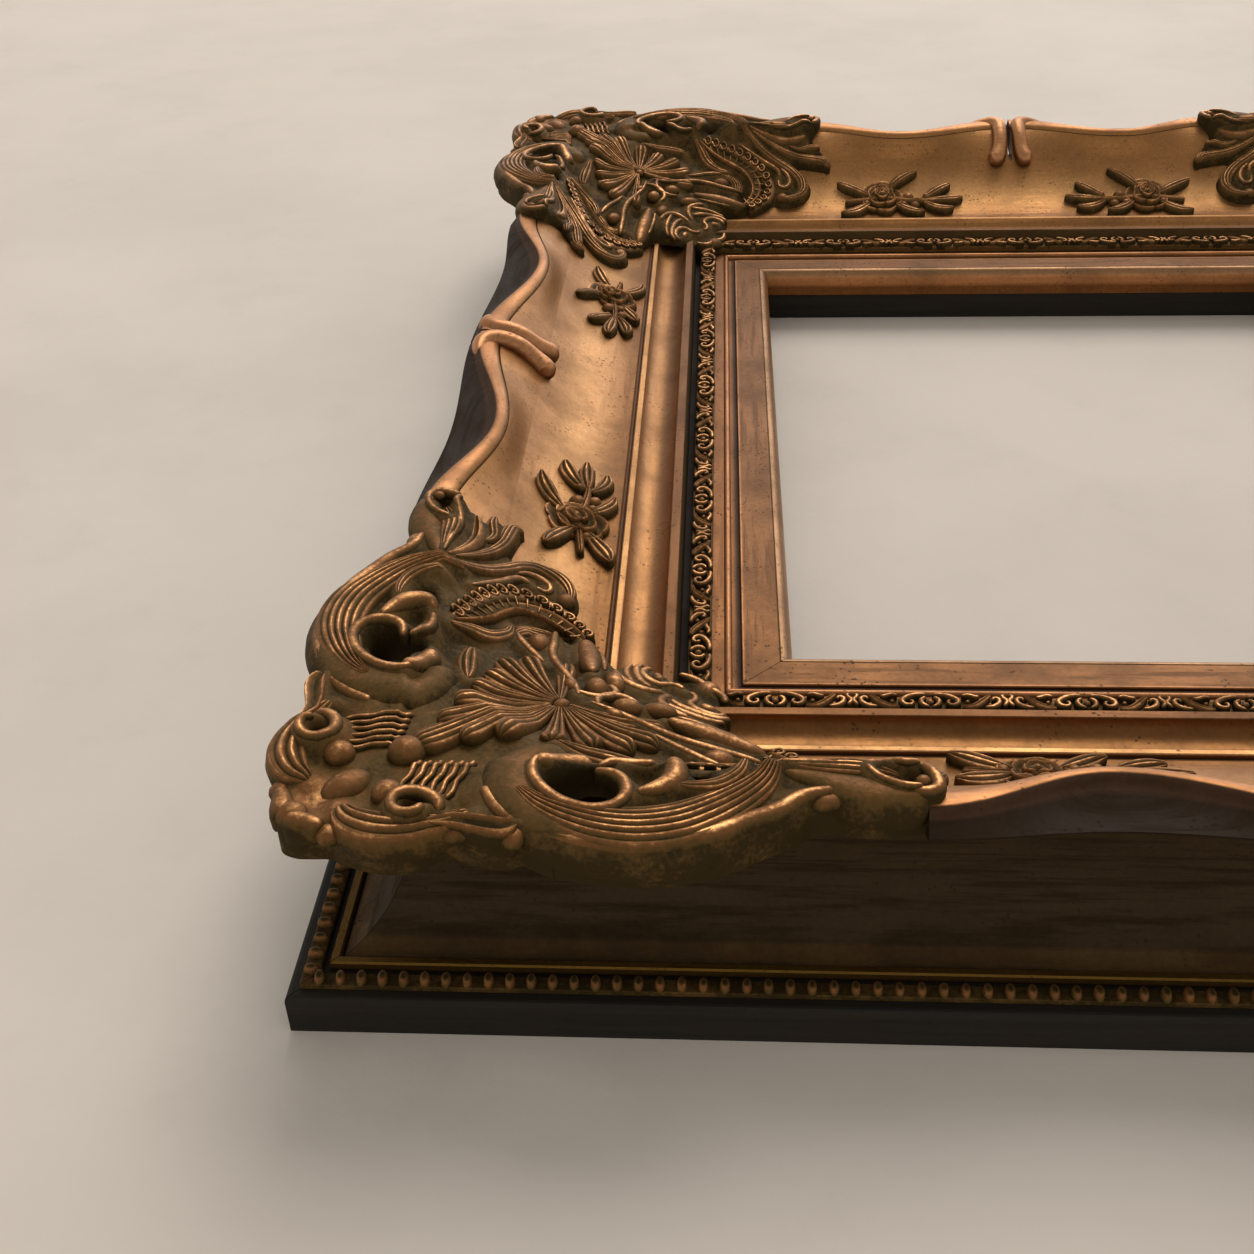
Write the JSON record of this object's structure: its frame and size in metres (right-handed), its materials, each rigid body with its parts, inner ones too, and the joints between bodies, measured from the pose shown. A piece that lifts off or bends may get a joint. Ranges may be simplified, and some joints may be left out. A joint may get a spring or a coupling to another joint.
{
  "type": "picture frame",
  "caption": "Swept picture frame lying face up, with an open sight, a rebate for a picture and pierced ornaments that overhang the corners.",
  "frame": {"origin": "centre of the flat back, on the surface that the frame lies on", "axes": "+X along the short sides, +Y along the long sides towards the top of the hung frame, +Z out of the frame's face"},
  "size_m": [0.813, 0.9146, 0.1111],
  "materials": {
    "dark_wood": "dark brown wax over a distressed stain, satin",
    "gilding": "antique gold over dark bole, rubbed and specked",
    "bronze_gilding": "bronze gold over composition, olive patina in the recesses",
    "key_wood": "bare hardwood",
    "steel": "plain steel"
  },
  "bodies": {
    "frame": {"base_rail_near": "dark_wood", "base_rail_right": "dark_wood", "base_rail_far": "dark_wood", "base_rail_left": "dark_wood", "cove_rail_near": "gilding", "cove_rail_right": "gilding", "cove_rail_far": "gilding", "cove_rail_left": "gilding", "slip_near": "gilding", "slip_right": "gilding", "slip_far": "gilding", "slip_left": "gilding", "carved_band_near": "bronze_gilding", "carved_band_right": "bronze_gilding", "carved_band_far": "bronze_gilding", "carved_band_left": "bronze_gilding", "bead_row_near": "bronze_gilding", "bead_row_right": "bronze_gilding", "bead_row_far": "bronze_gilding", "bead_row_left": "bronze_gilding", "crest_near_a": "bronze_gilding", "crest_near_b": "bronze_gilding", "crest_right_a": "bronze_gilding", "crest_right_b": "bronze_gilding", "crest_far_a": "bronze_gilding", "crest_far_b": "bronze_gilding", "crest_left_a": "bronze_gilding", "crest_left_b": "bronze_gilding", "sprig_near_a": "bronze_gilding", "sprig_near_b": "bronze_gilding", "sprig_right_a": "bronze_gilding", "sprig_right_b": "bronze_gilding", "sprig_far_a": "bronze_gilding", "sprig_far_b": "bronze_gilding", "sprig_left_a": "bronze_gilding", "sprig_left_b": "bronze_gilding", "cartouche_near_left": "bronze_gilding", "cartouche_near_right": "bronze_gilding", "cartouche_far_right": "bronze_gilding", "cartouche_far_left": "bronze_gilding", "mitre_key_near_left": "key_wood", "mitre_key_near_right": "key_wood", "mitre_key_far_right": "key_wood", "mitre_key_far_left": "key_wood", "hanger_strap_left": "steel", "hanger_screw_left_1": "steel", "hanger_screw_left_2": "steel", "hanger_strap_right": "steel", "hanger_screw_right_1": "steel", "hanger_screw_right_2": "steel"},
    "ring_left": {"hanger_ring_left": "steel"},
    "ring_right": {"hanger_ring_right": "steel"}
  },
  "joints": [
    {"name": "ring_left_hinge", "type": "hinge", "parent": "frame", "child": "ring_left", "pos_m": [-0.257, 0.11, 0.00435], "axis": [-1, 0, 0], "range_deg": [-12, 170]},
    {"name": "ring_right_hinge", "type": "hinge", "parent": "frame", "child": "ring_right", "pos_m": [0.257, 0.11, 0.00435], "axis": [-1, 0, 0], "range_deg": [-12, 170]}
  ]
}
